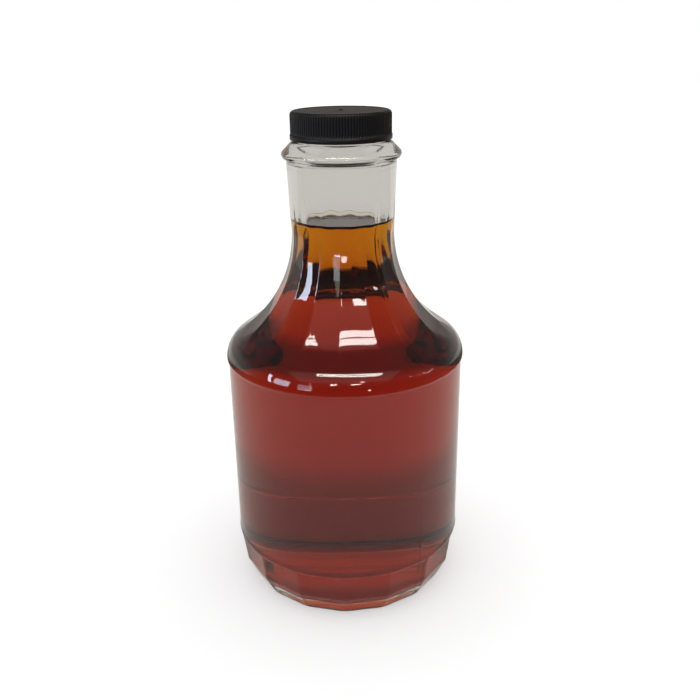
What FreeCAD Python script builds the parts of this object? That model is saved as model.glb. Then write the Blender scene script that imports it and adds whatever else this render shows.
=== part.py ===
"""Syrup decanter: a fluted clear glass bottle, the syrup in it and its ribbed screw cap.

Units are millimetres, +Z is up.  The origin is the centre of the ring that the bottle stands on.
The bottle is turned about Z.  Sixteen flat flutes run down its neck and shoulder, and sixteen facets
stand around its foot, with a flute and a facet centred on +X.
"""
import FreeCAD, Part
import math
import os

import Sketcher

DOC = FreeCAD.newDocument("decanter")

# ---------------------------------------------------------------- driving dimensions
DIMENSIONS = {
    # foot and heel
    "BearingRadius": 43.9,      # outer edge of the flat ring that the bottle stands on
    "BearingInner": 37.0,       # inner edge of that ring, where the hollow under the bottle starts
    "HollowDepth": 2.2,         # height of the hollow under the bottle
    "HeelRadius": 49.05,        # where the heel's rounding meets the conical foot
    "HeelHeight": 11.0,
    "HeelRounding": 14.3,
    "FootRadius": 50.7,         # rim at the top of the foot
    "FootTop": 22.6,
    "FootRim": 24.4,            # where the rim meets the label panel
    # label panel and shoulder
    "PanelRadius": 50.45,
    "ShoulderRadius": 51.1,
    "ShoulderHeight": 105.2,
    "ShoulderRounding": 10.8,
    "RollUnder": 1.1,           # radius of the shoulder's underside, above the label panel
    # neck
    "NeckRadius": 21.3,         # narrowest place
    "NeckWaist": 158.3,
    "FlareRadius": 50.9,        # concave sweep from the shoulder up into the neck
    "NeckTopRadius": 22.35,
    "BeadRadius": 24.2,         # transfer bead below the cap
    "BeadHeight": 189.6,
    "BeadRounding": 1.9,
    "FinishRadius": 17.5,       # glass inside the cap, without its thread
    "FinishFoot": 194.5,        # ledge below the thread, at the top of the bead's cone
    "LedgeRadius": 20.1,
    "LipHeight": 204.9,
    "LipRounding": 0.9,
    # cavity
    "FloorHeight": 4.8,
    "CavityRadius": 47.6,
    "CavityCorner": 11.0,
    "CavityShoulder": 102.4,
    "CavityRounding": 8.0,
    "CavityFlare": 50.0,
    "BoreRadius": 16.6,
    "BoreTop": 184.0,
    "MouthRadius": 14.9,
    "MouthHeight": 193.0,
    # flutes and facets
    "FluteCount": 16,
    "FluteStart": 169.5,
    "FluteStartRadius": 22.3,
    "FluteNeck": 20.88,
    "FluteFlare": 51.6,
    "FluteTurn": 118.7,
    "FluteRun": 39.5,
    "FluteEnd": 114.6,
    "FluteEndRadius": 45.9,
    "FluteWidth": 24.0,
    "FacetTop": 22.2,
    "FacetTopRadius": 51.2,
    "FacetUpper": 49.7,
    "FacetUpperHeight": 21.5,
    "FacetLower": 48.0,
    "FacetLowerHeight": 9.5,
    "FacetFoot": 43.0,
    "FacetWidth": 30.0,
    # screw thread, one start and right-handed, on the neck and inside the cap
    "ThreadPitch": 4.23,
    "ThreadRoot": 2.1,          # width of the ridge where it leaves the wall
    "ThreadCrest": 0.8,         # width of the ridge at its top
    "ThreadBuried": 0.4,        # how far the ridge reaches into the wall
    "NeckThreadRadius": 18.65,
    "NeckThreadStart": 198.4,
    "NeckThreadTurns": 1.0,
    "CapThreadRadius": 17.85,
    "CapThreadTurns": 1.25,
    # syrup
    "SyrupLevel": 162.0,
    # screw cap
    "CapRadius": 20.25,
    "CapFlare": 0.25,           # the plain band at the bottom is this much larger
    "CapBottom": 195.2,
    "CapBand": 197.0,
    "CapTop": 206.3,
    "CapRounding": 1.6,
    "CapInner": 19.0,
    "RibCount": 112,
    "RibDepth": 0.38,
    "RibWidth": 0.56,
    "NubRadius": 0.9,
    "NubHeight": 0.35,
}

SHEET = DOC.addObject("Spreadsheet::Sheet", "Sheet")
for row, (alias, value) in enumerate(DIMENSIONS.items(), start=1):
    SHEET.set(f"A{row}", alias)
    SHEET.set(f"B{row}", str(value))
    SHEET.setAlias(f"B{row}", alias)
DOC.recompute()


def size(alias):
    """A driving dimension, read from the sheet."""
    return float(getattr(SHEET, alias))


def cell(alias):
    """The same dimension as an expression, for binding."""
    return f"Sheet.{alias}"


START, END, CENTRE = 1, 2, 3        # the named points of a sketch edge
ORIGIN = (-1, 1)                    # the sketch's own origin
X_AXIS, Y_AXIS = -1, -2


def origin_plane(body, role):
    """One of a body's own origin planes or axes."""
    return next(item for item in body.Origin.OriginFeatures if item.Role == role)


class Section:
    """A closed outline in a body's own plane whose corners are bound to the sheet."""

    def __init__(self, body, name, plane="XZ_Plane"):
        """Start an empty sketch on one of the body's own origin planes."""
        self.sketch = body.newObject("Sketcher::SketchObject", name)
        self.sketch.AttachmentSupport = [(origin_plane(body, plane), "")]
        self.sketch.MapMode = "FlatFace"
        self.edges = []

    def line(self, start, end):
        """Add a straight edge between two (radius, height) places."""
        a = FreeCAD.Vector(start[0], start[1], 0)
        b = FreeCAD.Vector(end[0], end[1], 0)
        return self._add(Part.LineSegment(a, b))

    def arc(self, centre, radius, first, last, forward=True):
        """Add an arc; angles are in degrees and it runs from first to last."""
        circle = Part.Circle(FreeCAD.Vector(centre[0], centre[1], 0), FreeCAD.Vector(0, 0, 1), radius)
        low, high = (first, last) if forward else (last, first)
        edge = self._add(Part.ArcOfCircle(circle, math.radians(low), math.radians(high)))
        self.edges[-1] = (edge, START, END) if forward else (edge, END, START)
        return edge

    def _add(self, shape):
        edge = self.sketch.addGeometry(shape, False)
        self.edges.append((edge, START, END))
        return edge

    def close(self, tangents=()):
        """Join every edge to the next one; the joints named by number are tangent."""
        for number, (edge, _, last) in enumerate(self.edges):
            following, first, _ = self.edges[(number + 1) % len(self.edges)]
            kind = "Tangent" if number in tangents else "Coincident"
            self.sketch.addConstraint(Sketcher.Constraint(kind, edge, last, following, first))

    def bind(self, kind, edge, point, expression, value):
        """Bind a point's place along one axis of the sketch to an expression."""
        if abs(value) < 1e-9:
            axis = Y_AXIS if kind == "DistanceX" else X_AXIS
            self.sketch.addConstraint(Sketcher.Constraint("PointOnObject", edge, point, axis))
            return
        index = self.sketch.addConstraint(Sketcher.Constraint(kind, *ORIGIN, edge, point, value))
        self.sketch.setExpression(f"Constraints[{index}]", expression)

    def pin(self, edge, point, radius, height):
        """Bind a point's radius and height, each an expression, or None to leave it free."""
        for kind, expression in (("DistanceX", radius), ("DistanceY", height)):
            if expression is not None:
                self.bind(kind, edge, point, expression, evaluate(expression))

    def radius(self, edge, expression):
        """Bind an arc's radius."""
        index = self.sketch.addConstraint(Sketcher.Constraint("Radius", edge, evaluate(expression)))
        self.sketch.setExpression(f"Constraints[{index}]", expression)

    def polygon(self, corners, roundings=()):
        """Draw a closed outline through corners given as pairs of expressions.

        roundings maps a corner's number to the alias of the radius of the arc that leaves it.
        """
        roundings = dict(roundings)
        places = [(evaluate(across), evaluate(up)) for across, up in corners]
        for number, place in enumerate(places):
            following = places[(number + 1) % len(places)]
            if number in roundings:
                edge = pinned_arc(self, place, following, roundings[number])
            else:
                edge = self.line(place, following)
            across, up = corners[number]
            self.pin(edge, START, across, up)
        self.close()


def evaluate(expression):
    """The number that an expression over the sheet stands for now."""
    return float(SHEET.evalExpression(expression))


def tangent_angle(outer_centre, outer_radius, inner_centre, inner_radius):
    """Direction, in degrees, of the normal of the line that touches a concave and a convex arc."""
    across = outer_centre[0] - inner_centre[0]
    rise = outer_centre[1] - inner_centre[1]
    spread = math.acos((outer_radius + inner_radius) / math.hypot(across, rise))
    return math.degrees(math.atan2(rise, across) - spread)


def on_circle(centre, radius, angle):
    """The point of a circle at an angle in degrees."""
    turn = math.radians(angle)
    return centre[0] + radius * math.cos(turn), centre[1] + radius * math.sin(turn)


def revolve(body, section, name):
    """Turn a section about the bottle's axis."""
    feature = body.newObject("PartDesign::Revolution", name)
    feature.Profile = section.sketch
    feature.ReferenceAxis = (section.sketch, ["V_Axis"])
    feature.Angle = 360
    DOC.recompute()
    return feature


def arc_centre(start, end, radius):
    """Centre of the arc of a given radius that turns left from start to end."""
    middle = ((start[0] + end[0]) / 2, (start[1] + end[1]) / 2)
    chord = (end[0] - start[0], end[1] - start[1])
    length = math.hypot(*chord)
    rise = math.sqrt(radius * radius - length * length / 4)
    return middle[0] - chord[1] / length * rise, middle[1] + chord[0] / length * rise


def pinned_arc(section, start, end, rounding):
    """Add an arc between two places, bound by its radius; the ends are joined to their neighbours."""
    radius = size(rounding)
    centre = arc_centre(start, end, radius)
    first = math.degrees(math.atan2(start[1] - centre[1], start[0] - centre[0]))
    last = math.degrees(math.atan2(end[1] - centre[1], end[0] - centre[0]))
    if last < first:
        last += 360
    edge = section.arc(centre, radius, first, last)
    section.radius(edge, cell(rounding))
    return edge


# ---------------------------------------------------------------- the cavity, shared by glass and syrup
def cavity_shoulder():
    """Centres of the cavity's rounding and flare, and the angle of the slope between them."""
    rounding = (size("CavityRadius") - size("CavityRounding"), size("CavityShoulder"))
    flare = (size("BoreRadius") + size("CavityFlare"), size("NeckWaist"))
    angle = tangent_angle(flare, size("CavityFlare"), rounding, size("CavityRounding"))
    return rounding, flare, angle


def cavity_wall_up(section):
    """Draw the cavity's wall from the middle of the floor up to the top of the flare."""
    floor, corner, wall = size("FloorHeight"), size("CavityCorner"), size("CavityRadius")
    rounding, flare, angle = cavity_shoulder()
    base = section.line((0, floor), (wall - corner, floor))
    bend = section.arc((wall - corner, floor + corner), corner, -90, 0)
    side = section.line((wall, floor + corner), (wall, rounding[1]))
    shoulder = section.arc(rounding, size("CavityRounding"), 0, angle)
    low = on_circle(rounding, size("CavityRounding"), angle)
    high = on_circle(flare, size("CavityFlare"), 180 + angle)
    section.line(low, high)
    sweep = section.arc(flare, size("CavityFlare"), 180 + angle, 180, forward=False)
    section.pin(base, START, "0", cell("FloorHeight"))
    section.pin(base, END, "Sheet.CavityRadius - Sheet.CavityCorner", cell("FloorHeight"))
    section.pin(side, START, cell("CavityRadius"), "Sheet.FloorHeight + Sheet.CavityCorner")
    section.pin(side, END, cell("CavityRadius"), cell("CavityShoulder"))
    section.radius(bend, cell("CavityCorner"))
    section.radius(shoulder, cell("CavityRounding"))
    section.pin(shoulder, CENTRE, None, cell("CavityShoulder"))
    section.radius(sweep, cell("CavityFlare"))
    section.pin(sweep, CENTRE, "Sheet.BoreRadius + Sheet.CavityFlare", cell("NeckWaist"))
    section.pin(sweep, START, None, cell("NeckWaist"))
    return 3, 4                     # the joints on either side of the slope are tangent


# ---------------------------------------------------------------- glass bottle
def draw_outside(section):
    """Draw the bottle's outside from the middle of its underside up to the lip."""
    hollow = (0, size("HollowDepth"))
    inner = (size("BearingInner"), 0)
    ring = (size("BearingRadius"), 0)
    heel = (size("HeelRadius"), size("HeelHeight"))
    foot = (size("FootRadius"), size("FootTop"))
    panel = (size("PanelRadius"), size("FootRim"))
    roll_centre = (size("ShoulderRadius") - size("RollUnder"), size("ShoulderHeight"))
    roll = -math.degrees(math.acos((panel[0] - roll_centre[0]) / size("RollUnder")))
    crest = (size("ShoulderRadius") - size("ShoulderRounding"), size("ShoulderHeight"))
    flare = (size("NeckRadius") + size("FlareRadius"), size("NeckWaist"))
    angle = tangent_angle(flare, size("FlareRadius"), crest, size("ShoulderRounding"))

    dome_radius = (inner[0] ** 2 + hollow[1] ** 2) / (2 * hollow[1])
    dome_edge = math.degrees(math.acos(inner[0] / dome_radius))
    dome = section.arc((0, hollow[1] - dome_radius), dome_radius, 90, dome_edge, forward=False)
    stand = section.line(inner, ring)
    pinned_arc(section, ring, heel, "HeelRounding")
    cone = section.line(heel, foot)
    rim = section.line(foot, panel)
    side = section.line(panel, on_circle(roll_centre, size("RollUnder"), roll))
    under = section.arc(roll_centre, size("RollUnder"), roll, 0)
    bulge = section.arc(crest, size("ShoulderRounding"), 0, angle)
    section.line(on_circle(crest, size("ShoulderRounding"), angle),
                 on_circle(flare, size("FlareRadius"), 180 + angle))
    sweep = section.arc(flare, size("FlareRadius"), 180 + angle, 180, forward=False)
    section.pin(dome, CENTRE, "0", None)
    section.pin(dome, END, "0", cell("HollowDepth"))
    section.pin(stand, START, cell("BearingInner"), "0")
    section.pin(stand, END, cell("BearingRadius"), "0")
    section.pin(cone, START, cell("HeelRadius"), cell("HeelHeight"))
    section.pin(cone, END, cell("FootRadius"), cell("FootTop"))
    section.pin(rim, END, cell("PanelRadius"), cell("FootRim"))
    section.pin(side, END, cell("PanelRadius"), None)
    section.radius(under, cell("RollUnder"))
    section.pin(under, CENTRE, "Sheet.ShoulderRadius - Sheet.RollUnder", cell("ShoulderHeight"))
    section.pin(under, END, None, cell("ShoulderHeight"))
    section.radius(bulge, cell("ShoulderRounding"))
    section.pin(bulge, CENTRE, None, cell("ShoulderHeight"))
    section.radius(sweep, cell("FlareRadius"))
    section.pin(sweep, CENTRE, "Sheet.NeckRadius + Sheet.FlareRadius", cell("NeckWaist"))
    return 7, 8                     # the joints on either side of the slope are tangent


def draw_finish(section):
    """Draw the neck, the transfer bead and the finish under the cap, then the bore back down."""
    waist = (size("NeckRadius"), size("NeckWaist"))
    bead_centre = (size("BeadRadius") - size("BeadRounding"), size("BeadHeight"))
    ledge = (size("LedgeRadius"), size("FinishFoot"))
    lip = size("LipRounding")
    reach = math.hypot(ledge[0] - bead_centre[0], ledge[1] - bead_centre[1])
    cone = math.degrees(math.atan2(ledge[1] - bead_centre[1], ledge[0] - bead_centre[0]))
    cone -= math.degrees(math.acos(size("BeadRounding") / reach))
    under = -math.degrees(math.acos((size("NeckTopRadius") - bead_centre[0]) / size("BeadRounding")))

    neck = section.line(waist, on_circle(bead_centre, size("BeadRounding"), under))
    bead = section.arc(bead_centre, size("BeadRounding"), under, cone)
    section.line(on_circle(bead_centre, size("BeadRounding"), cone), ledge)
    shelf = section.line(ledge, (size("FinishRadius"), ledge[1]))
    wall = section.line((size("FinishRadius"), ledge[1]), (size("FinishRadius"), size("LipHeight") - lip))
    outer = section.arc((size("FinishRadius") - lip, size("LipHeight") - lip), lip, 0, 90)
    flat = section.line((size("FinishRadius") - lip, size("LipHeight")),
                        (size("MouthRadius") + lip, size("LipHeight")))
    inner = section.arc((size("MouthRadius") + lip, size("LipHeight") - lip), lip, 90, 180)
    mouth = section.line((size("MouthRadius"), size("LipHeight") - lip),
                         (size("MouthRadius"), size("MouthHeight")))
    taper = section.line((size("MouthRadius"), size("MouthHeight")), (size("BoreRadius"), size("BoreTop")))
    section.pin(neck, START, None, cell("NeckWaist"))
    section.pin(neck, END, cell("NeckTopRadius"), None)
    section.radius(bead, cell("BeadRounding"))
    section.pin(bead, CENTRE, "Sheet.BeadRadius - Sheet.BeadRounding", cell("BeadHeight"))
    section.pin(shelf, START, cell("LedgeRadius"), cell("FinishFoot"))
    section.pin(shelf, END, cell("FinishRadius"), cell("FinishFoot"))
    section.pin(wall, END, cell("FinishRadius"), "Sheet.LipHeight - Sheet.LipRounding")
    section.radius(outer, cell("LipRounding"))
    section.radius(inner, cell("LipRounding"))
    section.pin(flat, START, "Sheet.FinishRadius - Sheet.LipRounding", cell("LipHeight"))
    section.pin(flat, END, "Sheet.MouthRadius + Sheet.LipRounding", cell("LipHeight"))
    section.pin(mouth, START, cell("MouthRadius"), "Sheet.LipHeight - Sheet.LipRounding")
    section.pin(mouth, END, cell("MouthRadius"), cell("MouthHeight"))
    section.pin(taper, END, cell("BoreRadius"), cell("BoreTop"))


def draw_cavity_down(section):
    """Draw the cavity's wall from the bore down to the middle of the floor and close on the axis."""
    floor, corner, wall = size("FloorHeight"), size("CavityCorner"), size("CavityRadius")
    rounding, flare, angle = cavity_shoulder()
    section.line((size("BoreRadius"), size("BoreTop")), (size("BoreRadius"), size("NeckWaist")))
    sweep = section.arc(flare, size("CavityFlare"), 180, 180 + angle)
    section.line(on_circle(flare, size("CavityFlare"), 180 + angle),
                 on_circle(rounding, size("CavityRounding"), angle))
    shoulder = section.arc(rounding, size("CavityRounding"), angle, 0, forward=False)
    side = section.line((wall, rounding[1]), (wall, floor + corner))
    bend = section.arc((wall - corner, floor + corner), corner, 0, -90, forward=False)
    base = section.line((wall - corner, floor), (0, floor))
    section.line((0, floor), (0, size("HollowDepth")))
    section.radius(sweep, cell("CavityFlare"))
    section.pin(sweep, CENTRE, "Sheet.BoreRadius + Sheet.CavityFlare", cell("NeckWaist"))
    section.pin(sweep, START, None, cell("NeckWaist"))
    section.radius(shoulder, cell("CavityRounding"))
    section.pin(shoulder, CENTRE, None, cell("CavityShoulder"))
    section.pin(side, START, cell("CavityRadius"), cell("CavityShoulder"))
    section.pin(side, END, cell("CavityRadius"), "Sheet.FloorHeight + Sheet.CavityCorner")
    section.radius(bend, cell("CavityCorner"))
    section.pin(base, START, "Sheet.CavityRadius - Sheet.CavityCorner", cell("FloorHeight"))
    section.pin(base, END, "0", cell("FloorHeight"))


def draw_flute(section):
    """Draw what one flute cuts away: a flat in the neck that ends in an arch on the shoulder."""
    clear = "Sheet.ShoulderRadius + 5"
    section.polygon([(cell("FluteStartRadius"), cell("FluteStart")),
                     (cell("FluteNeck"), cell("NeckWaist")),
                     (cell("FluteRun"), cell("FluteTurn")),
                     (cell("FluteEndRadius"), cell("FluteEnd")),
                     (clear, cell("FluteEnd")),
                     (clear, cell("FluteStart"))], {1: "FluteFlare"})


def draw_facet(section):
    """Draw what one facet cuts off the foot: a flat under a small ledge."""
    clear = "Sheet.FootRadius + 5"
    section.polygon([(cell("FacetTopRadius"), cell("FacetTop")),
                     (cell("FacetUpper"), cell("FacetUpperHeight")),
                     (cell("FacetLower"), cell("FacetLowerHeight")),
                     (cell("FacetFoot"), "-1"),
                     (clear, "-1"),
                     (clear, cell("FacetTop"))])


def repeat(body, feature, name, count):
    """Repeat a cut around the axis and say how much it takes away."""
    before = body.Shape.Volume
    pattern = body.newObject("PartDesign::PolarPattern", name)
    pattern.Originals = [feature]
    pattern.Axis = (origin_plane(body, "Z_Axis"), [""])
    pattern.Angle = 360
    pattern.setExpression("Occurrences", cell(count))
    body.Tip = pattern
    DOC.recompute()
    print(f"{name}: {before - body.Shape.Volume:.0f} mm3 cut away")


def cut_round(body, section, name, width):
    """Cut a section, as wide as given, out of the body and repeat it around the axis."""
    pocket = body.newObject("PartDesign::Pocket", name + "_cut")
    pocket.Profile = section.sketch
    pocket.Midplane = True
    pocket.setExpression("Length", cell(width))
    repeat(body, pocket, name, "FluteCount")


def wind_thread(body, name, wall, crest, start, turns):
    """Wind a thread ridge around the axis and say how much it adds.

    wall is the radius inside the material that the ridge grows from, and the other values say where
    its crest lies, how high its first section is centred and how many turns it makes.
    """
    before = body.Shape.Volume
    section = Section(body, name + "_section")
    section.polygon([(wall, f"{start} - Sheet.ThreadRoot / 2"), (crest, f"{start} - Sheet.ThreadCrest / 2"),
                     (crest, f"{start} + Sheet.ThreadCrest / 2"), (wall, f"{start} + Sheet.ThreadRoot / 2")])
    thread = body.newObject("PartDesign::AdditiveHelix", name)
    thread.Profile = section.sketch
    thread.ReferenceAxis = (section.sketch, ["V_Axis"])
    thread.Mode = "pitch-height-angle"
    thread.setExpression("Pitch", cell("ThreadPitch"))
    thread.setExpression("Height", f"Sheet.ThreadPitch * {turns}")
    body.Tip = thread
    DOC.recompute()
    print(f"{name}: {body.Shape.Volume - before:.0f} mm3 added")


def build_bottle():
    """The glass: a thick-walled bottle with its flutes, facets and finish."""
    body = DOC.addObject("PartDesign::Body", "glass_bottle")
    body.Label = "glass_bottle"
    section = Section(body, "glass_section")
    tangents = draw_outside(section)
    draw_finish(section)
    draw_cavity_down(section)
    edges = len(section.edges)
    section.close(tangents + (edges - 7, edges - 6))
    revolve(body, section, "glass_wall")

    flute = Section(body, "flute_section")
    draw_flute(flute)
    cut_round(body, flute, "flutes", "FluteWidth")
    facet = Section(body, "facet_section")
    draw_facet(facet)
    cut_round(body, facet, "facets", "FacetWidth")
    wind_thread(body, "neck_thread", "Sheet.FinishRadius - Sheet.ThreadBuried", cell("NeckThreadRadius"),
                cell("NeckThreadStart"), cell("NeckThreadTurns"))
    return body


# ---------------------------------------------------------------- syrup
def build_syrup():
    """The syrup: it fills the cavity up to its level in the neck."""
    body = DOC.addObject("PartDesign::Body", "syrup")
    body.Label = "syrup"
    section = Section(body, "syrup_section")
    tangents = cavity_wall_up(section)
    bore, level = size("BoreRadius"), size("SyrupLevel")
    section.line((bore, size("NeckWaist")), (bore, level))
    surface = section.line((bore, level), (0, level))
    section.line((0, level), (0, size("FloorHeight")))
    section.pin(surface, START, cell("BoreRadius"), cell("SyrupLevel"))
    section.pin(surface, END, "0", cell("SyrupLevel"))
    section.close(tangents)
    revolve(body, section, "syrup_fill")
    return body


# ---------------------------------------------------------------- screw cap
def draw_cap(section):
    """Draw the cap's wall: a flat top with a gate nub, a rounded edge and a plain band below."""
    flared = "Sheet.CapRadius + Sheet.CapFlare"
    eased = "Sheet.CapTop - Sheet.CapRounding"
    raised = "Sheet.CapTop + Sheet.NubHeight"
    section.polygon([("0", cell("LipHeight")),
                     (cell("CapInner"), cell("LipHeight")),
                     (cell("CapInner"), cell("CapBottom")),
                     (flared, cell("CapBottom")),
                     (flared, cell("CapBand")),
                     (cell("CapRadius"), "Sheet.CapBand + Sheet.CapFlare"),
                     (cell("CapRadius"), eased),
                     ("Sheet.CapRadius - Sheet.CapRounding", cell("CapTop")),
                     (cell("NubRadius"), cell("CapTop")),
                     (cell("NubRadius"), raised),
                     ("0", raised)], {6: "CapRounding"})


def cut_ribs(body):
    """Cut the narrow grooves that leave the ribs standing around the cap's side."""
    groove = Section(body, "groove_section", "XY_Plane")
    groove.sketch.setExpression("AttachmentOffset.Base.z", "Sheet.CapBand + Sheet.CapFlare")
    deep, out = "Sheet.CapRadius - Sheet.RibDepth", "Sheet.CapRadius + Sheet.RibDepth"
    groove.polygon([(deep, "-Sheet.RibWidth / 4"), (out, "-Sheet.RibWidth * 0.75"),
                    (out, "Sheet.RibWidth * 0.75"), (deep, "Sheet.RibWidth / 4")])
    pocket = body.newObject("PartDesign::Pocket", "groove")
    pocket.Profile = groove.sketch
    pocket.Reversed = True
    pocket.setExpression("Length", "Sheet.CapTop - Sheet.CapBand")
    repeat(body, pocket, "ribs", "RibCount")


def build_cap():
    """The cap: a hollow black screw cap with fine upright ribs."""
    body = DOC.addObject("PartDesign::Body", "screw_cap")
    body.Label = "screw_cap"
    section = Section(body, "cap_section")
    draw_cap(section)
    revolve(body, section, "cap_wall")
    wind_thread(body, "cap_thread", "Sheet.CapInner + Sheet.ThreadBuried", cell("CapThreadRadius"),
                "Sheet.NeckThreadStart - Sheet.ThreadPitch / 2", cell("CapThreadTurns"))
    cut_ribs(body)
    return body


# ---------------------------------------------------------------- build, check and write
def check(bodies):
    """Stop if any object failed or any sub-part is not one valid solid."""
    for item in DOC.Objects:
        if {"Invalid", "Error"} & set(item.State):
            raise RuntimeError(f"{item.Name} failed: {item.State}")
    for body in bodies:
        shape = body.Shape
        if shape.isNull() or not shape.isValid() or len(shape.Solids) != 1:
            raise RuntimeError(f"{body.Label} is not one valid solid")
        box = shape.BoundBox
        print(f"{body.Label}: {shape.Volume / 1000:.1f} ml, "
              f"{box.XLength:.2f} x {box.YLength:.2f} x {box.ZLength:.2f} mm, from z = {box.ZMin:.2f}")


def main():
    """Build the three sub-parts and write each to its own file."""
    bodies = [build_bottle(), build_syrup(), build_cap()]
    DOC.recompute()
    check(bodies)
    os.makedirs("parts", exist_ok=True)
    for body in bodies:
        body.Shape.exportStep(os.path.join("parts", body.Label + ".step"))


main()
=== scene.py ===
"""Dress the syrup decanter: flint glass, amber syrup and a ribbed black screw cap.

Sizes are in millimetres and turned into metres when a mesh is made.  Heights that the frame knows,
such as the syrup's level and the cap's top and bottom, are read from it.
"""
import logging
import math
from collections.abc import Callable, Iterable
from dataclasses import dataclass, field
from enum import Enum

import bpy
from mathutils import Matrix, Vector


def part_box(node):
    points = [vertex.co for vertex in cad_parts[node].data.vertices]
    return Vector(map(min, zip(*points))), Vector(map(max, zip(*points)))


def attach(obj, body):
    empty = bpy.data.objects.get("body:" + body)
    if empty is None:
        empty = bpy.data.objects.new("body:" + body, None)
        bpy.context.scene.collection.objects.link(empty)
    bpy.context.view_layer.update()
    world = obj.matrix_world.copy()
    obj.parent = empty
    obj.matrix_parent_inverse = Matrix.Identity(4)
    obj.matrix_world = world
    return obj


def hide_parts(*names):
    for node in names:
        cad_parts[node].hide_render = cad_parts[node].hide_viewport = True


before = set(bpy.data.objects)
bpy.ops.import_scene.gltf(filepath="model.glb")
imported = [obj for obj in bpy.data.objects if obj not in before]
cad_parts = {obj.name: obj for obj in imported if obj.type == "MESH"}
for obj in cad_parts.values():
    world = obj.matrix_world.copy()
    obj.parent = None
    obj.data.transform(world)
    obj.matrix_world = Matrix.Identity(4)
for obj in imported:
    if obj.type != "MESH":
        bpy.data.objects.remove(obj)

LOG = logging.getLogger("decanter")
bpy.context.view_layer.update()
MM = 0.001
BOUNCES = 24                        # enough for light to cross glass, syrup and glass again
MIRROR_BOUNCES = 8
TINY = 1e-6                         # millimetres: closer than this is the same place
Point = tuple[float, float]
Colour = tuple[float, float, float, float]
Tree = bpy.types.NodeTree
Socket = bpy.types.NodeSocket
BLACK: Colour = (0.0, 0.0, 0.0, 1.0)
WHITE: Colour = (1.0, 1.0, 1.0, 1.0)
COLOUR_INPUTS = (6, 7)              # a Mix node's two inputs and its output when it mixes colours
COLOUR_OUTPUT = 2


# -------------------------------------------------------------------------------- helpers
def linear(hex_colour: str) -> Colour:
    """Turn an sRGB hex value into a linear colour.

    Args:
        hex_colour: six hex digits after a hash.

    Returns:
        Red, green, blue and an alpha of 1.
    """
    def channel(start: int) -> float:
        """One channel of the hex value, made linear."""
        value = int(hex_colour[start:start + 2], 16) / 255
        return value / 12.92 if value <= 0.04045 else ((value + 0.055) / 1.055) ** 2.4

    return channel(1), channel(3), channel(5), 1.0


def add_node(tree: Tree, kind: str, links: dict[str | int, Socket] | None = None,
             sockets: dict[str | int, object] | None = None, **settings: object) -> bpy.types.Node:
    """Add one node, with its settings, its sockets' values and the links into it.

    Args:
        tree: the material's or world's node tree.
        kind: Blender's name of the node's type.
        links: input name or number to the output that feeds it.
        sockets: input name or number to a value set on the socket itself.
        settings: attributes of the node.

    Returns:
        The new node.
    """
    node = tree.nodes.new(kind)
    for name, value in settings.items():
        setattr(node, name, value)
    for name, value in (sockets or {}).items():
        node.inputs[name].default_value = value
    for name, output in (links or {}).items():
        tree.links.new(output, node.inputs[name])
    return node


def empty_material(name: str) -> bpy.types.Material:
    """A new material whose node tree has only its output."""
    material = bpy.data.materials.new(name)
    material.use_nodes = True
    material.node_tree.nodes.clear()
    add_node(material.node_tree, "ShaderNodeOutputMaterial")
    return material


def output_of(tree: Tree) -> bpy.types.Node:
    """The output node of a tree."""
    return next(node for node in tree.nodes if node.bl_idname.startswith("ShaderNodeOutput"))


def mix_colours(tree: Tree, factor: Socket, low: Colour | Socket, high: Colour | Socket) -> Socket:
    """Mix two colours, each plain or an output's; the first shows where the factor is 0."""
    mix = add_node(tree, "ShaderNodeMix", {"Factor": factor}, data_type="RGBA")
    for number, colour in zip(COLOUR_INPUTS, (low, high)):
        if isinstance(colour, Socket):
            tree.links.new(colour, mix.inputs[number])
        else:
            mix.inputs[number].default_value = colour
    return mix.outputs[COLOUR_OUTPUT]


def mix_shaders(tree: Tree, factor: Socket, low: Socket, high: Socket) -> Socket:
    """Mix two shaders; the first shows where the factor is 0."""
    mix = add_node(tree, "ShaderNodeMixShader", {0: factor, 1: low, 2: high})
    return mix.outputs["Shader"]


def blend(tree: Tree, value: Socket, span: Point, low: Colour | Socket,
          high: Colour | Socket) -> Socket:
    """Go smoothly from one colour to another as a value crosses a span.

    Args:
        tree: the node tree.
        value: the output that decides.
        span: where the change starts and ends.
        low: the colour below the span, or the output that gives it.
        high: the same above it.

    Returns:
        The blended colour's output.
    """
    place = add_node(tree, "ShaderNodeMapRange", {"Value": value},
                     {"From Min": span[0], "From Max": span[1]}, interpolation_type="SMOOTHSTEP")
    return mix_colours(tree, place.outputs["Result"], low, high)


def noise(tree: Tree, size_mm: float, detail: float, roughness: float) -> Socket:
    """A noise pattern in an object's own space, with features of about a size in millimetres."""
    place = add_node(tree, "ShaderNodeTexCoord")
    pattern = add_node(tree, "ShaderNodeTexNoise", {"Vector": place.outputs["Object"]},
                       {"Scale": 1 / MM / size_mm, "Detail": detail, "Roughness": roughness})
    return pattern.outputs["Fac"]


def relief(tree: Tree, height: Socket, depth_mm: float, strength: float = 1.0) -> Socket:
    """The normal of a surface on which a pattern stands out by a depth in millimetres."""
    bump = add_node(tree, "ShaderNodeBump", {"Height": height},
                    {"Distance": depth_mm * MM, "Strength": strength})
    return bump.outputs["Normal"]


def smooth_step(low: float, high: float, value: float) -> float:
    """0 below low, 1 above high and an even curve between them."""
    place = min(max((value - low) / (high - low), 0.0), 1.0)
    return place * place * (3 - 2 * place)


def soft_min(a: float, b: float, width: float) -> float:
    """The smaller of two lengths, with the change from one to the other rounded over a width."""
    near = max(width - abs(a - b), 0.0) / width
    return min(a, b) - near * near * width / 4


def on_circle(centre: Point, radius: float, angle: float) -> Point:
    """The place on a circle at an angle in degrees."""
    turn = math.radians(angle)
    return centre[0] + radius * math.cos(turn), centre[1] + radius * math.sin(turn)


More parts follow.
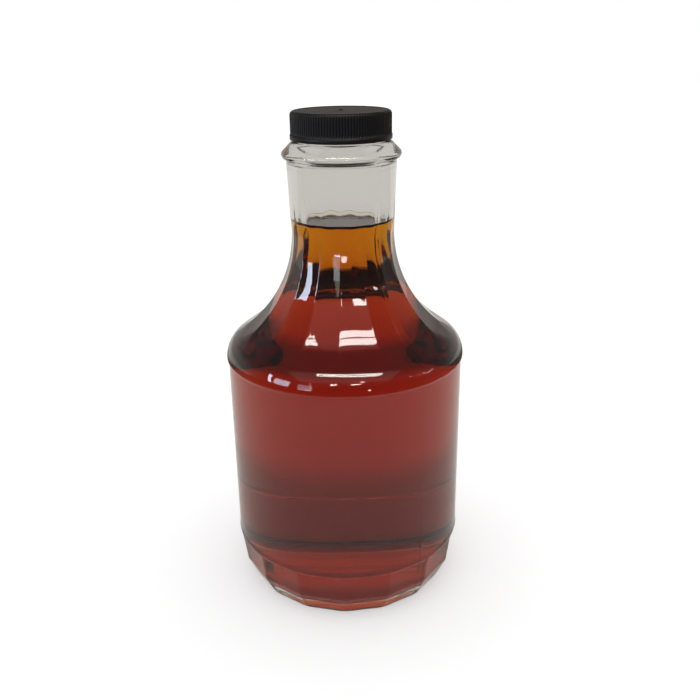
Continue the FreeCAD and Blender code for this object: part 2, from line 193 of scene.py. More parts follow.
# -------------------------------------------------------------------------------- outlines
@dataclass
class Outline:
    """A run of (radius, height) points, built from straight and round stretches, in millimetres."""

    points: list[Point] = field(default_factory=list)

    def to(self, radius: float, height: float, steps: int = 1) -> "Outline":
        """Go straight to a place in a number of steps, and return the outline."""
        if not self.points:
            self.points.append((radius, height))
            return self
        r0, z0 = self.points[-1]
        for step in range(1, steps + 1):
            part = step / steps
            self.points.append((r0 + (radius - r0) * part, z0 + (height - z0) * part))
        return self

    def arc(self, centre: Point, radius: float, first: float, last: float, steps: int) -> "Outline":
        """Follow an arc between two angles in degrees, and return the outline."""
        for step in range(1 if self.points else 0, steps + 1):
            angle = first + (last - first) * step / steps
            self.points.append(on_circle(centre, radius, angle))
        return self

    def moved_out(self, distance: float) -> "Outline":
        """A copy moved by a distance along its own normal, away from the axis side.

        Args:
            distance: how far to move, in millimetres.

        Returns:
            The moved outline, with points on the axis kept there.
        """
        moved = []
        for index, (radius, height) in enumerate(self.points):
            before = self.points[max(index - 1, 0)]
            after = self.points[min(index + 1, len(self.points) - 1)]
            along = Vector((after[0] - before[0], after[1] - before[1]))
            length = max(along.length, TINY)
            normal = (along.y / length, -along.x / length)
            moved_radius = radius + normal[0] * distance if radius > TINY else 0.0
            moved.append((moved_radius, height + normal[1] * distance))
        return Outline(moved)


def slope_angle(flare: Point, flare_radius: float, bulge: Point, bulge_radius: float) -> float:
    """Direction, in degrees, of the normal of the slope between a convex and a concave arc."""
    across, rise = flare[0] - bulge[0], flare[1] - bulge[1]
    spread = math.acos((flare_radius + bulge_radius) / math.hypot(across, rise))
    return math.degrees(math.atan2(rise, across) - spread)


# -------------------------------------------------------------------------------- meshes
@dataclass
class Wall:
    """A stretch of outline, where each of its points really goes, and its finish's slot."""

    outline: Outline
    place: Callable[[float, float, float], Point] | None = None
    slot: int = 0

    def at(self, radius: float, height: float, angle: float) -> Point:
        """A point's true radius and height at an angle."""
        return self.place(radius, height, angle) if self.place else (radius, height)


class Lathe:
    """Turns outlines into meshes, with a radius that may change around the axis."""

    def __init__(self, angles: list[float]) -> None:
        """Keep the angles, in radians, of the mesh's columns."""
        self.angles = angles

    def skin(self, name: str, walls: Iterable[Wall]) -> bpy.types.Object:
        """Make one closed skin from walls that start and end on the axis.

        Args:
            name: the new object's name.
            walls: stretches of outline that follow on from each other.

        Returns:
            The new object, smooth shaded.
        """
        vertices: list[tuple[float, float, float]] = []
        rows: list[list[int]] = []
        row_slots: list[int] = []
        last: Point | None = None
        for wall in walls:
            for radius, height in wall.outline.points:
                if (radius, height) == last:
                    continue
                last = (radius, height)
                row_slots.append(wall.slot)
                if radius < TINY:
                    rows.append([len(vertices)])
                    vertices.append((0.0, 0.0, height * MM))
                    continue
                rows.append(list(range(len(vertices), len(vertices) + len(self.angles))))
                for angle in self.angles:
                    r, z = wall.at(radius, height, angle)
                    vertices.append((r * math.cos(angle) * MM, r * math.sin(angle) * MM, z * MM))
        faces: list[tuple[int, ...]] = []
        slots: list[int] = []
        for low, high, slot in zip(rows, rows[1:], row_slots[1:]):
            band = list(self._band(low, high))
            faces += band
            slots += [slot] * len(band)
        piece = make_object(name, vertices, faces)
        piece.data.polygons.foreach_set("material_index", slots)
        return piece

    def _band(self, low: list[int], high: list[int]) -> Iterable[tuple[int, ...]]:
        """The faces between two rows, either of which may be one point on the axis."""
        count = len(self.angles)
        for column in range(count):
            following = (column + 1) % count
            if len(low) == 1:
                yield low[0], high[following], high[column]
            elif len(high) == 1:
                yield low[column], low[following], high[0]
            else:
                yield low[column], low[following], high[following], high[column]


def make_object(name: str, vertices: list[tuple[float, float, float]],
                faces: list[tuple[int, ...]]) -> bpy.types.Object:
    """Make a smooth mesh object and link it to the scene."""
    mesh = bpy.data.meshes.new(name)
    mesh.from_pydata(vertices, [], faces)
    mesh.validate()
    mesh.polygons.foreach_set("use_smooth", [True] * len(mesh.polygons))
    mesh.update()
    piece = bpy.data.objects.new(name, mesh)
    bpy.context.scene.collection.objects.link(piece)
    return piece


# -------------------------------------------------------------------------------- finishes
@dataclass(frozen=True)
class FlintGlass:
    """Clear soda-lime container glass, blown in a mould and fire-polished."""

    # Soda-lime glass bends light strongly, and its fire-polished skin gives clean, sharp
    # highlights.  Where syrup wets it the light hardly turns, so that skin mirrors nothing except
    # at a glancing angle.
    name: str = "flint_glass"
    wetted: bool = False
    ior: float = 1.52
    roughness: float = 0.0
    tint: str = "#FDFDFC"
    ripple_mm: float = 9.0          # size of the faint waves that the cold mould leaves
    ripple_depth_mm: float = 0.02

    def material(self) -> bpy.types.Material:
        """Build the glass."""
        material = empty_material(self.name)
        tree = material.node_tree
        waves = relief(tree, noise(tree, self.ripple_mm, 4.0, 0.55), self.ripple_depth_mm)
        glass = add_node(tree, "ShaderNodeBsdfPrincipled", {"Normal": waves},
                         {"Base Color": linear(self.tint), "Roughness": self.roughness,
                          "IOR": self.ior, "Specular Tint": BLACK if self.wetted else WHITE,
                          "Transmission Weight": 1.0})
        tree.links.new(glass.outputs["BSDF"], output_of(tree).inputs["Surface"])
        return material


@dataclass(frozen=True)
class AmberSyrup:
    """Clear boiled sugar syrup, coloured through and through."""

    # Light loses its blue in a few millimetres, its green in a few centimetres and its red slowly,
    # so the thin neck shows orange, the wide body red and the longest paths near black.
    ior: float = 1.46
    density: float = 200.0          # full absorption per metre of what the colour lacks
    kept_red: float = 0.95
    kept_green: float = 0.76
    kept_blue: float = 0.05

    def material(self) -> bpy.types.Material:
        """Build the syrup."""
        material = empty_material("amber_syrup")
        tree = material.node_tree
        liquid = add_node(tree, "ShaderNodeBsdfPrincipled", None,
                          {"Base Color": WHITE, "Roughness": 0.0, "IOR": self.ior,
                           "Specular Tint": BLACK, "Transmission Weight": 1.0})
        depth = add_node(tree, "ShaderNodeVolumeAbsorption", None,
                         {"Color": (self.kept_red, self.kept_green, self.kept_blue, 1.0),
                          "Density": self.density})
        tree.links.new(liquid.outputs["BSDF"], output_of(tree).inputs["Surface"])
        tree.links.new(depth.outputs["Volume"], output_of(tree).inputs["Volume"])
        return material


@dataclass(frozen=True)
class MouldedPolypropylene:
    """Black injection-moulded polypropylene with the fine grain of a blasted mould."""

    # The plastic is dyed through and reads as a soft satin: dark sides and a greyer top.
    colour: str = "#0D0D0F"
    ior: float = 1.49
    shine: float = 0.22             # specular level: the blasted grain scatters most of its gloss
    roughness: float = 0.45
    grain_mm: float = 0.35
    grain_depth_mm: float = 0.02
    grain_strength: float = 0.6
    wear_mm: float = 6.0            # size of the patches that handling has polished or dulled
    wear_range: Point = (-0.06, 0.08)

    def material(self) -> bpy.types.Material:
        """Build the plastic."""
        material = empty_material("black_polypropylene")
        tree = material.node_tree
        grain = relief(tree, noise(tree, self.grain_mm, 2.0, 0.6), self.grain_depth_mm,
                       self.grain_strength)
        polish = add_node(tree, "ShaderNodeMapRange",
                          {"Value": noise(tree, self.wear_mm, 4.0, 0.65)},
                          {"To Min": self.roughness + self.wear_range[0],
                           "To Max": self.roughness + self.wear_range[1]})
        plastic = add_node(tree, "ShaderNodeBsdfPrincipled",
                           {"Normal": grain, "Roughness": polish.outputs["Result"]},
                           {"Base Color": linear(self.colour), "IOR": self.ior,
                            "Specular IOR Level": self.shine})
        tree.links.new(plastic.outputs["BSDF"], output_of(tree).inputs["Surface"])
        return material


# -------------------------------------------------------------------------------- bottle
class Seams(Enum):
    """Where the two halves of the bottle's mould meet, in degrees from +X."""

    FRONT = -60.4
    BACK = 119.6


@dataclass(frozen=True)
class WallWave:
    """One of the slow waves in a blown wall's thickness."""

    depth: float
    lobes: int
    pitch: float
    phase: float = 0.0

    def at(self, height: float, angle: float) -> float:
        """How far the wave pushes the wall inwards at a place."""
        return self.depth * math.sin(self.lobes * angle + height / self.pitch + self.phase)


@dataclass
class Bottle:
    """The glass: outside with flutes and facets, bead and finish, and the cavity inside.

    Lengths are in millimetres, and a pair is a radius and a height where it says nothing else.
    """

    bearing: float = 43.9
    bearing_inner: float = 37.0
    hollow: float = 2.2
    heel: Point = (49.05, 11.0)
    heel_rounding: float = 14.3
    foot: Point = (50.7, 22.6)
    rim_height: float = 24.4
    panel: float = 50.45
    shoulder: Point = (51.1, 105.2)
    shoulder_rounding: float = 10.8
    roll_under: float = 1.1
    neck: Point = (21.3, 158.3)
    flare: float = 50.9
    neck_top: float = 22.35
    bead: Point = (24.2, 189.6)
    bead_rounding: float = 1.9
    ledge: Point = (20.1, 194.5)
    finish: float = 17.5
    lip_rounding: float = 0.9
    floor: float = 4.8
    cavity: float = 47.6
    cavity_corner: float = 11.0
    cavity_shoulder: float = 102.4
    cavity_rounding: float = 8.0
    cavity_flare: float = 50.0
    bore: float = 16.6
    bore_top: float = 184.0
    mouth: Point = (14.9, 193.0)
    mouth_rise: float = 6.0         # the mouth is straight for this far above its foot
    flutes: int = 16
    flute_start: Point = (22.3, 169.5)
    flute_neck: float = 20.88
    flute_flare: float = 51.6
    flute_turn: Point = (39.5, 118.7)
    flute_end: Point = (45.9, 114.6)
    flute_run_out: float = 6.0      # a flute's plane still counts this far below its end
    flute_hollow: float = 0.12
    facet_top: Point = (51.2, 22.2)
    facet_upper: Point = (49.7, 21.5)
    facet_lower: Point = (48.0, 9.5)
    facet_foot: Point = (43.0, -1.0)
    edge_rounding: float = 0.07
    seam_height: float = 0.10
    seam_width: float = 0.45
    seam_start: Point = (2.0, 5.0)  # heights between which a seam rises out of the heel
    waves: tuple[WallWave, ...] = (WallWave(0.10, 3, 23.0), WallWave(0.07, 5, -11.0, 1.3),
                                   WallWave(0.05, 2, 6.5, 0.4))
    wave_start: Point = (4.0, 20.0)     # heights over the floor between which the waves begin
    echo: float = 0.16              # how deep the flutes show in the cavity's wall
    echo_foot: Point = (108.0, 122.0)   # heights between which they come in
    echo_head: Point = (166.0, 174.0)   # and between which they go out
    rim_rows: Point = (0.3, 1.2)    # extra mesh rows this far above the foot's rim
    crease_rows: Point = (1.2, 0.25)    # and this far below the shoulder's crease
    ledge_row: float = 0.6          # and this far below the facets' upper edge
    flute_columns: int = 9          # mesh columns from the middle of a flute to its ridge
    crowding: float = 2.2           # how much closer together they are at the ridge
    lip_height: float = field(init=False)

    def __post_init__(self) -> None:
        """Read the lip's height from the frame."""
        self.lip_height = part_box("glass_bottle")[1].z / MM

    def angles(self) -> list[float]:
        """Column angles: closer together at each ridge, with a few more on each mould seam."""
        half = math.pi / self.flutes
        steps = [half * (1 - (1 - step / self.flute_columns) ** self.crowding)
                 for step in range(self.flute_columns + 1)]
        flutes = [(2 * half * flute + side * step) % (2 * math.pi)
                  for flute in range(self.flutes) for side in (-1, 1) for step in steps]
        reach = math.degrees(self.seam_width / self.panel)
        extra = [math.radians(seam.value + step * reach / 2) % (2 * math.pi)
                 for seam in Seams for step in (-2, -1, 1, 2)]
        return sorted({round(angle, 7) for angle in flutes + extra})

    def outside(self) -> Outline:
        """The outline from the middle of the underside, round the outside and over the lip."""
        dome = (self.bearing_inner ** 2 + self.hollow ** 2) / (2 * self.hollow)
        edge = math.degrees(math.acos(self.bearing_inner / dome))
        roll_centre = (self.shoulder[0] - self.roll_under, self.shoulder[1])
        roll = -math.degrees(math.acos((self.panel - roll_centre[0]) / self.roll_under))
        crest = (self.shoulder[0] - self.shoulder_rounding, self.shoulder[1])
        sweep = (self.neck[0] + self.flare, self.neck[1])
        slope = slope_angle(sweep, self.flare, crest, self.shoulder_rounding)
        bead_centre = (self.bead[0] - self.bead_rounding, self.bead[1])
        under = -math.degrees(math.acos((self.neck_top - bead_centre[0]) / self.bead_rounding))
        cone = self._bead_end(bead_centre)
        heel_centre = (self.heel[0] - self.heel_rounding, self.heel[1])
        heel_start = -math.degrees(math.asin(self.heel[1] / self.heel_rounding))
        lip = self.lip_rounding
        outline = Outline().to(0, self.hollow)
        outline.arc((0, self.hollow - dome), dome, 90, edge, 6)
        outline.to(self.bearing, 0, 2)
        outline.arc(heel_centre, self.heel_rounding, heel_start, 0, 16)
        lean = (self.foot[0] - self.heel[0]) / (self.foot[1] - self.heel[1])
        under_ledge = self.facet_upper[1] - self.ledge_row
        outline.to(self.heel[0] + lean * (under_ledge - self.heel[1]), under_ledge, 14)
        outline.to(*self.foot, 12)
        outline.to(self.panel, self.rim_height, 6)
        for rise in self.rim_rows:
            outline.to(self.panel, self.rim_height + rise)
        crease = on_circle(roll_centre, self.roll_under, roll)[1]
        outline.to(self.panel, crease - self.crease_rows[0], 12)
        outline.to(self.panel, crease - self.crease_rows[1]).to(self.panel, crease)
        outline.arc(roll_centre, self.roll_under, roll, 0, 6)
        outline.arc(crest, self.shoulder_rounding, 0, slope, 22)
        outline.to(*on_circle(sweep, self.flare, 180 + slope), 12)
        outline.arc(sweep, self.flare, 180 + slope, 180, 40)
        outline.to(self.neck_top, on_circle(bead_centre, self.bead_rounding, under)[1], 24)
        outline.arc(bead_centre, self.bead_rounding, under, cone, 12)
        outline.to(*self.ledge, 4)
        outline.to(self.finish, self.ledge[1], 2)
        outline.to(self.finish, self.lip_height - lip, 4)
        outline.arc((self.finish - lip, self.lip_height - lip), lip, 0, 90, 5)
        outline.to(self.mouth[0] + lip, self.lip_height, 1)
        outline.arc((self.mouth[0] + lip, self.lip_height - lip), lip, 90, 180, 5)
        return outline

    def _bead_end(self, centre: Point) -> float:
        """Angle at which the bead's rounding turns into the cone above it."""
        across, rise = self.ledge[0] - centre[0], self.ledge[1] - centre[1]
        reach = math.hypot(across, rise)
        return math.degrees(math.atan2(rise, across) - math.acos(self.bead_rounding / reach))

    def cavity_wall(self) -> Outline:
        """The cavity's outline from the middle of its floor up to the bore."""
        bulge = (self.cavity - self.cavity_rounding, self.cavity_shoulder)
        sweep = (self.bore + self.cavity_flare, self.neck[1])
        slope = slope_angle(sweep, self.cavity_flare, bulge, self.cavity_rounding)
        corner = (self.cavity - self.cavity_corner, self.floor + self.cavity_corner)
        outline = Outline().to(0, self.floor).to(corner[0], self.floor, 5)
        outline.arc(corner, self.cavity_corner, -90, 0, 12)
        outline.to(self.cavity, self.cavity_shoulder, 8)
        outline.arc(bulge, self.cavity_rounding, 0, slope, 10)
        outline.to(*on_circle(sweep, self.cavity_flare, 180 + slope), 4)
        return outline.arc(sweep, self.cavity_flare, 180 + slope, 180, 18)

    def flat_distance(self, height: float) -> float:
        """How far from the axis a flute or facet lies at a height; infinite where none is."""
        start, end, turn = self.flute_start, self.flute_end, self.flute_turn
        foot = [self.facet_foot, self.facet_lower, self.facet_upper, self.facet_top]
        if height >= self.neck[1]:
            part = (height - self.neck[1]) / (start[1] - self.neck[1])
            return self.flute_neck + (start[0] - self.flute_neck) * part
        if height >= turn[1]:
            drop = self.neck[1] - height
            return self.flute_neck + self.flute_flare - math.sqrt(self.flute_flare ** 2 - drop ** 2)
        if height >= end[1] - self.flute_run_out:
            return turn[0] + (end[0] - turn[0]) * (turn[1] - height) / (turn[1] - end[1])
        for (r0, z0), (r1, z1) in zip(foot, foot[1:]):
            if z0 <= height <= z1:
                return r0 + (r1 - r0) * (height - z0) / (z1 - z0)
        return math.inf

    def place(self, radius: float, height: float, angle: float) -> Point:
        """Where a point of the outside goes once flutes, facets and seams are on it."""
        if radius <= self.bearing_inner and height < self.heel[1] or height > self.bead[1]:
            return radius, height
        step = 2 * math.pi / self.flutes
        aside = (angle + step / 2) % step - step / 2
        flat = self.flat_distance(height)
        if math.isfinite(flat):
            hollow = self.flute_hollow * math.cos(aside / step * math.pi)
            radius = soft_min(radius, (flat - hollow) / math.cos(aside), self.edge_rounding)
        return radius + self._seam(height, angle, radius), height

    def _seam(self, height: float, angle: float, radius: float) -> float:
        """How far the mould seam stands out at a place."""
        near = min(abs((angle - math.radians(seam.value) + math.pi) % (2 * math.pi) - math.pi)
                   for seam in Seams) * radius
        faded = smooth_step(*self.seam_start, height)
        return self.seam_height * faded * max(0.0, 1 - near / self.seam_width)

    def ripple(self, radius: float, height: float, angle: float) -> Point:
        """Where a point of the cavity goes: blown glass is never quite even in thickness."""
        fade = smooth_step(self.floor + self.wave_start[0], self.floor + self.wave_start[1], height)
        fluted = smooth_step(*self.echo_foot, height) * (1 - smooth_step(*self.echo_head, height))
        depth = sum(wave.at(height, angle) for wave in self.waves)
        depth += self.echo * fluted * math.cos(self.flutes * angle)
        return radius - depth * fade, height

    def bore_wall(self, wet_height: float) -> Outline:
        """The mouth and bore, from under the lip down to where the syrup wets the glass."""
        outline = Outline().to(self.mouth[0], self.mouth[1] + self.mouth_rise).to(*self.mouth, 2)
        outline.to(self.bore, self.bore_top, 4)
        return outline.to(self.bore, wet_height, 10)

    def build(self, dry: bpy.types.Material, wet: bpy.types.Material,
              wet_height: float) -> bpy.types.Object:
        """Make the bottle's mesh, dress it and put it in its node's place.

        Args:
            dry: the glass in air.
            wet: the glass that the syrup touches.
            wet_height: how far up the bore the syrup climbs, in millimetres.

        Returns:
            The bottle.
        """
        inside = Outline([(self.bore, wet_height)] + list(reversed(self.cavity_wall().points)))
        walls = [Wall(self.outside(), self.place), Wall(self.bore_wall(wet_height), self.ripple),
                 Wall(inside, self.ripple, 1)]
        piece = Lathe(self.angles()).skin("decanter_glass", walls)
        put_in_place(piece, "glass_bottle", "clear_glass", dry, wet)
        return piece


def put_in_place(piece: bpy.types.Object, node: str, slot: str,
                 *finishes: bpy.types.Material) -> None:
    """Dress a piece, let it stand for a node of the frame and report it."""
    for finish in finishes:
        piece.data.materials.append(finish)
    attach(piece, "root")
    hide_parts(node)
    LOG.info("%s: %d faces, for %s", piece.name, len(piece.data.polygons), node)


# -------------------------------------------------------------------------------- syrup
@dataclass
class Syrup:
    """The syrup: it wets the glass, so it reaches just into the wall and climbs it at the top."""

    bottle: Bottle
    overlap: float = 0.12
    climb: float = 1.7              # height of the meniscus at the glass
    climb_reach: float = 2.4        # how far from the glass it dies away
    steepness: float = 1.6          # how fast it dies away
    drawn: float = 3.0              # the meniscus is drawn out to this many times its reach
    side_top: float = 0.9           # the mesh's side ends at this share of the climb
    rows: int = 14                  # mesh rows across the meniscus, closer together at the glass
    crowding: float = 1.6
    still_radius: float = 6.0       # inside this the surface is flat
    columns: int = 192
    level: float = field(init=False)

    def __post_init__(self) -> None:
        """Read the syrup's level from the frame."""
        self.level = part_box("syrup")[1].z / MM

    def surface(self) -> Outline:
        """The liquid's surface from the glass, down its meniscus, to the middle."""
        edge = self.bottle.bore + self.overlap
        outline = Outline().to(edge, self.level + self.climb)
        for row in range(1, self.rows + 1):
            inward = self.climb_reach * self.drawn * (row / self.rows) ** self.crowding
            height = self.climb * math.exp(-inward / self.climb_reach * self.steepness)
            outline.to(edge - inward, self.level + height)
        return outline.to(self.still_radius, self.level, 4).to(0, self.level, 3)

    def build(self, finish: bpy.types.Material) -> bpy.types.Object:
        """Make the syrup's mesh, dress it and put it in its node's place."""
        wall = self.bottle.cavity_wall()
        wall.to(self.bottle.bore, self.level + self.climb * self.side_top, 4)
        body = wall.moved_out(self.overlap)
        angles = [2 * math.pi * column / self.columns for column in range(self.columns)]
        walls = [Wall(outline, self.bottle.ripple) for outline in (body, self.surface())]
        piece = Lathe(angles).skin("syrup_fill", walls)
        put_in_place(piece, "syrup", "amber_syrup", finish)
        return piece


# -------------------------------------------------------------------------------- cap
@dataclass
class Cap:
    """The screw cap: ribs that fade out under a rounded edge, a plain band and a gate nub."""

    radius: float = 20.25
    flare: float = 0.25
    band: float = 1.8
    rounding: float = 1.6
    inner: float = 19.0
    roof: float = 1.4
    ribs: int = 112
    rib_depth: float = 0.38
    rib_flank: Point = (0.25, 0.75)     # where a groove's side starts and ends, from rib to groove
    rib_foot: float = 0.5           # the ribs fade out over this height above the band
    rib_head: Point = (0.9, 0.25)   # and up the rounded edge: a share of it, and short of the top
    slack: float = 0.05             # the ribs' side is told from its neighbours to within this
    rib_columns: int = 8
    chamfer: float = 0.3            # on the band's lower edges
    nub_radius: float = 0.9
    nub_taper: float = 0.6          # the nub's top is this share of its foot
    nub_height: float = 0.3
    nub_rise: float = 0.35          # how far the nub stands over the rim, to the frame's top
    dish_radius: float = 17.8       # the top is a hair lower inside this circle
    dish_depth: float = 0.12
    dish_slope: float = 0.4
    bottom: float = field(init=False)
    table_with_painted_shadow: float = field(init=False)

    def __post_init__(self) -> None:
        """Read the cap's bottom and top from the frame; its top includes the nub."""
        low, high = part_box("screw_cap")
        self.bottom = low.z / MM
        self.table_with_painted_shadow = high.z / MM - self.nub_rise

    def outside(self) -> Outline:
        """The outline from the middle of the top, down the side, to the inside of the roof."""
        table_with_painted_shadow, outer = self.table_with_painted_shadow, self.radius
        dish, edge = table_with_painted_shadow - self.dish_depth, self.chamfer
        outline = Outline().to(0, dish + self.nub_height)
        outline.to(self.nub_radius * self.nub_taper, dish + self.nub_height, 2)
        outline.to(self.nub_radius, dish, 3)
        outline.to(self.dish_radius - self.dish_slope, dish, 6)
        outline.to(self.dish_radius, table_with_painted_shadow, 3)
        outline.arc((outer - self.rounding, table_with_painted_shadow - self.rounding), self.rounding, 90, 0, 10)
        outline.to(outer, self.bottom + self.band + self.flare, 8)
        outline.to(outer + self.flare, self.bottom + self.band, 3)
        outline.to(outer + self.flare, self.bottom + edge, 2)
        outline.to(outer + self.flare - edge, self.bottom, 2)
        outline.to(self.inner + edge, self.bottom, 2)
        outline.to(self.inner, self.bottom + edge, 2)
        outline.to(self.inner, table_with_painted_shadow - self.roof, 4)
        return outline.to(0, table_with_painted_shadow - self.roof, 4)

    def place(self, radius: float, height: float, angle: float) -> Point:
        """Sink the grooves between the ribs into the side."""
        band_top = self.bottom + self.band
        on_side = self.radius - self.rounding - self.slack <= radius <= self.radius + self.slack
        if not on_side or height < band_top + self.slack:
            return radius, height
        groove = smooth_step(*self.rib_flank, 0.5 + 0.5 * math.cos(self.ribs * angle))
        share, short = self.rib_head
        upper = 1 - smooth_step(self.table_with_painted_shadow - self.rounding * share, self.table_with_painted_shadow - short, height)
        lower = smooth_step(band_top, band_top + self.rib_foot, height)
        return radius - self.rib_depth * groove * upper * lower, height

    def build(self, finish: bpy.types.Material) -> bpy.types.Object:
        """Make the cap's mesh, dress it and put it in its node's place."""
        count = self.ribs * self.rib_columns
        angles = [-2 * math.pi * column / count for column in range(count)]
        piece = Lathe(angles).skin("ribbed_cap", [Wall(self.outside(), self.place)])
        put_in_place(piece, "screw_cap", "black_plastic", finish)
        return piece


# -------------------------------------------------------------------------------- studio
class Daylight(Enum):
    """The colour of a lamp, a window or a lit screen."""

    SKY = "#DCE8FF"
    CEILING = "#FFFBF4"
    SCREEN = "#E4ECD0"


@dataclass(frozen=True)
class Lamp:
    """A window or ceiling lamp, seen only as a highlight on glass and plastic.

    Its place is the way to it from the bottle's middle: degrees round from the front, towards +X,
    and degrees up.  Its width and height are in degrees too.
    """

    name: str
    around: float
    up: float
    width: float
    height: float
    radiance: float
    light: Daylight = Daylight.CEILING
    turn: float = 0.0               # about the way to it, in degrees
    reach: float = 2.5              # metres from the bottle
    aim: float = 0.12               # how high up the bottle it points

    def build(self) -> bpy.types.Object:
        """Hang the lamp and point it at the bottle."""
        data = bpy.data.lights.new(self.name, "AREA")
        data.shape = "RECTANGLE"
        data.size, data.size_y = (2 * self.reach * math.tan(math.radians(angle) / 2)
                                  for angle in (self.width, self.height))
        data.energy = self.radiance * math.pi * data.size * data.size_y
        data.color = linear(self.light.value)[:3]
        around, up = math.radians(self.around), math.radians(self.up)
        way = Vector((math.sin(around) * math.cos(up), -math.cos(around) * math.cos(up),
                      math.sin(up)))
        lamp = bpy.data.objects.new(self.name, data)
        lamp.location = way * self.reach + Vector((0.0, 0.0, self.aim))
        facing = (-way).to_track_quat("-Z", "Y").to_matrix()
        lamp.rotation_euler = (facing @ Matrix.Rotation(math.radians(self.turn), 3, "Z")).to_euler()
        lamp.visible_diffuse = False
        lamp.visible_transmission = False
        bpy.context.scene.collection.objects.link(lamp)
        return lamp


LAMPS = (
    Lamp("side_window", -83.2, 13.5, 3.4, 24, 16, Daylight.SKY, 10),
    Lamp("left_window", -69, 10, 16, 20, 9, Daylight.SKY),
    Lamp("front_window", -46, 8, 13, 18, 3, Daylight.SKY),
    Lamp("window_sill", -46, -3, 13, 3, 20, Daylight.SKY),
    Lamp("tall_screen", -40.6, 14, 1.8, 30, 2.2, Daylight.SCREEN, 8),
    Lamp("ceiling_glow", -10, 58, 80, 44, 0.4),
    Lamp("tube_over_table", -2.8, 63.4, 44.7, 5.6, 18, turn=-10.6),
    Lamp("tube_behind_it", 1.2, 69.9, 44.7, 5.6, 18, turn=-14.5),
    Lamp("desk_lamp", 9.2, 35, 2.8, 5.5, 20),
    Lamp("far_strip", 1.6, 27.4, 7.2, 2, 45),
    Lamp("far_lamp", -19.5, 28.2, 6, 2, 45),
    Lamp("hall_light", 12.5, 1, 2.2, 5, 14),
    Lamp("right_window", 56, 20, 1.6, 2.2, 14, Daylight.SKY),
    Lamp("right_blind", 68, 18, 9, 1.2, 14, Daylight.SKY, 25),
    Lamp("right_slat", 78, 13, 9, 1.0, 14, Daylight.SKY, 25),
)


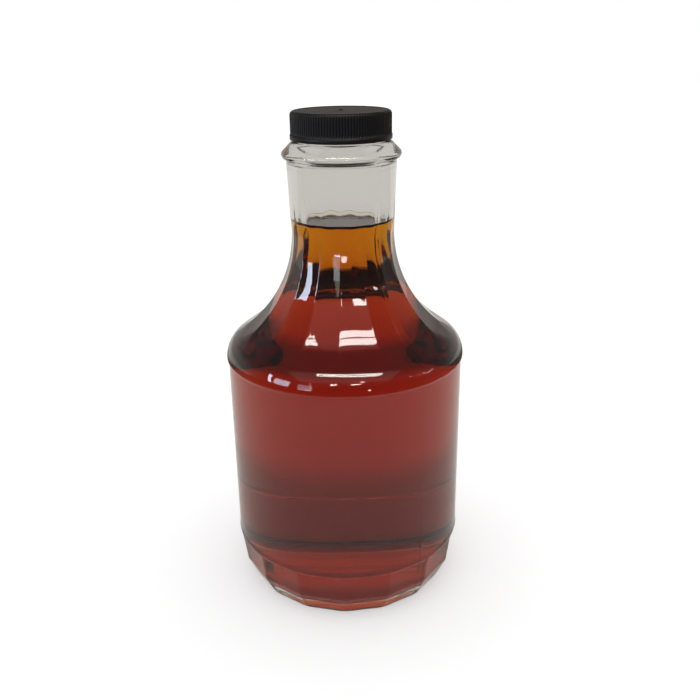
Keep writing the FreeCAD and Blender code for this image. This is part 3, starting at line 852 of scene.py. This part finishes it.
@dataclass
class Studio:
    """Pale floor, soft light from all round and the camera, a little above the bottle.

    Lengths are in metres here, and the camera's angles in degrees.
    """

    floor_size: float = 6.0
    table_colour: str = "#C9C5C0"
    painted_shadow_colour: str = "#908C88"   # painted shadow: the table close to the foot, darkened as if out of the windows' light
    painted_shadow_radius: float = 0.11
    painted_shadow_edge: float = 0.02        # how softly the painted shadow ends
    paper_colour: str = "#E8E8E8"
    paper_glow: float = 0.30
    sheet_colour: str = "#F2EDE6"   # the lit sheet under the bottle, as its sides mirror it
    beyond_colour: str = "#6E6662"  # and what lies past its rounded front
    sheet_radius: float = 0.273
    sheet_edge: Point = (-0.003, 0.02)
    sheet_back: Point = (0.25, 0.45)    # behind the bottle the sheet goes on, from here
    wall_colour: str = "#C9C5C0"    # what glass and plastic show at eye height
    ceiling_colour: str = "#857D7A"
    wall_top: Point = (0.5, 0.8)    # upward part of the way out where walls turn into ceiling
    mirrored_top: Point = (0.12, 0.5)   # and the same in mirrors
    side_walls: Point = (-0.1, 0.6)     # backward part where the dim front turns into lit walls
    distance: float = 0.3350        # from the bottle's axis to the camera
    height: float = 0.2349
    azimuth: float = -8.45
    pitch: float = 21.23
    turn: float = 0.38
    roll: float = -0.88
    lens: float = 42.17
    lamps: tuple[Lamp, ...] = LAMPS

    def build(self) -> None:
        """Lay the floor, light the room and set the camera."""
        self._floor()
        self._world()
        self._camera()
        for lamp in self.lamps:
            lamp.build()
        bpy.context.scene.view_settings.view_transform = "Standard"

    def _floor(self) -> None:
        """A wide floor: white paper to the camera, pale grey table through glass and in mirrors;
        through glass, a painted shadow darkens the table round the foot.
        """
        half = self.floor_size / 2
        corners = [(-half, -half, 0.0), (half, -half, 0.0), (half, half, 0.0), (-half, half, 0.0)]
        floor = make_object("floor", corners, [(0, 1, 2, 3)])
        material = empty_material("pale_floor")
        tree = material.node_tree
        ray = add_node(tree, "ShaderNodeLightPath")
        place = add_node(tree, "ShaderNodeTexCoord")
        away = add_node(tree, "ShaderNodeVectorMath", {"Vector": place.outputs["Object"]},
                        operation="LENGTH")
        axes = add_node(tree, "ShaderNodeSeparateXYZ", {"Vector": place.outputs["Object"]})
        edge = (self.sheet_radius + self.sheet_edge[0], self.sheet_radius + self.sheet_edge[1])
        front = blend(tree, away.outputs["Value"], edge, linear(self.sheet_colour),
                      linear(self.beyond_colour))
        sheet = blend(tree, axes.outputs["Y"], self.sheet_back, front, linear(self.sheet_colour))
        mirrored = add_node(tree, "ShaderNodeBsdfDiffuse", {"Color": sheet})
        # Painted shadow: through glass, the table is darker close to the foot.
        painted_shadow_span = (self.painted_shadow_radius - self.painted_shadow_edge, self.painted_shadow_radius + self.painted_shadow_edge)
        table_with_painted_shadow = blend(tree, away.outputs["Value"], painted_shadow_span, linear(self.painted_shadow_colour),
                    linear(self.table_colour))
        table = add_node(tree, "ShaderNodeBsdfDiffuse", {"Color": table_with_painted_shadow})
        paper = add_node(tree, "ShaderNodeBsdfDiffuse", None, {"Color": linear(self.paper_colour)})
        glow = add_node(tree, "ShaderNodeEmission", None, {"Strength": self.paper_glow})
        lit_paper = add_node(tree, "ShaderNodeAddShader",
                             {0: paper.outputs["BSDF"], 1: glow.outputs["Emission"]})
        glassy = mix_shaders(tree, ray.outputs["Is Reflection Ray"], table.outputs["BSDF"],
                             mirrored.outputs["BSDF"])
        seen = mix_shaders(tree, ray.outputs["Is Camera Ray"], glassy, lit_paper.outputs["Shader"])
        tree.links.new(seen, output_of(tree).inputs["Surface"])
        floor.data.materials.append(material)

    def _world(self) -> None:
        """Even soft light; glass and plastic mirror a dimmer room with a dark ceiling."""
        world = bpy.data.worlds.new("soft_room")
        world.use_nodes = True
        world.cycles.sampling_method = "NONE"
        tree = world.node_tree
        tree.nodes.clear()
        output = add_node(tree, "ShaderNodeOutputWorld")
        ray = add_node(tree, "ShaderNodeLightPath")
        way = add_node(tree, "ShaderNodeTexCoord")
        axes = add_node(tree, "ShaderNodeSeparateXYZ", {"Vector": way.outputs["Generated"]})
        wall, ceiling = linear(self.wall_colour), linear(self.ceiling_colour)
        front = linear(self.beyond_colour)
        through = blend(tree, axes.outputs["Z"], self.wall_top, wall, ceiling)
        sides = blend(tree, axes.outputs["Y"], self.side_walls, front, wall)
        mirrored = blend(tree, axes.outputs["Z"], self.mirrored_top, sides, ceiling)
        shade = mix_colours(tree, ray.outputs["Is Reflection Ray"], through, mirrored)
        daylight = add_node(tree, "ShaderNodeBackground", None, {"Color": WHITE, "Strength": 1.0})
        room = add_node(tree, "ShaderNodeBackground", {"Color": shade}, {"Strength": 1.0})
        # A diffuse depth under a half means that the ray has not left a matt surface yet.
        direct = add_node(tree, "ShaderNodeMath", {0: ray.outputs["Diffuse Depth"]}, {1: 0.5},
                          operation="LESS_THAN")
        seen = add_node(tree, "ShaderNodeMath",
                        {0: ray.outputs["Is Glossy Ray"], 1: direct.outputs["Value"]},
                        operation="MULTIPLY")
        surface = mix_shaders(tree, seen.outputs["Value"], daylight.outputs["Background"],
                              room.outputs["Background"])
        tree.links.new(surface, output.inputs["Surface"])
        bpy.context.scene.world = world

    def _camera(self) -> None:
        """Stand the camera in front of the bottle, looking down at it, with its slight roll."""
        pitch, turn, roll = (math.radians(value) for value in (self.pitch, self.turn, self.roll))
        forward = Vector((math.sin(turn) * math.cos(pitch), math.cos(turn) * math.cos(pitch),
                          -math.sin(pitch)))
        right = Vector((math.cos(turn), -math.sin(turn), 0.0))
        up = right.cross(forward)
        rolled_right = right * math.cos(roll) + up * math.sin(roll)
        rolled_up = up * math.cos(roll) - right * math.sin(roll)
        axes = Matrix((rolled_right, rolled_up, -forward)).transposed().to_4x4()
        stand = Matrix.Translation((0, -self.distance, self.height))
        data = bpy.data.cameras.new("camera")
        data.lens = self.lens
        data.sensor_width = 36.0
        data.clip_start = 0.01
        camera = bpy.data.objects.new("camera", data)
        bpy.context.scene.collection.objects.link(camera)
        camera.matrix_world = Matrix.Rotation(math.radians(self.azimuth), 4, "Z") @ stand @ axes
        bpy.context.scene.camera = camera


def main() -> None:
    """Build and dress every piece, then the studio, and set the render's bounces."""
    logging.basicConfig(level=logging.INFO, format="%(name)s: %(message)s")
    bottle = Bottle()
    syrup = Syrup(bottle)
    wet_glass = FlintGlass("wetted_flint_glass", wetted=True)
    bottle.build(FlintGlass().material(), wet_glass.material(), syrup.level + syrup.climb)
    syrup.build(AmberSyrup().material())
    Cap().build(MouldedPolypropylene().material())
    Studio().build()
    cycles = bpy.context.scene.cycles
    cycles.max_bounces = BOUNCES
    cycles.transmission_bounces = BOUNCES
    cycles.glossy_bounces = MIRROR_BOUNCES


if __name__ == "__main__":
    main()
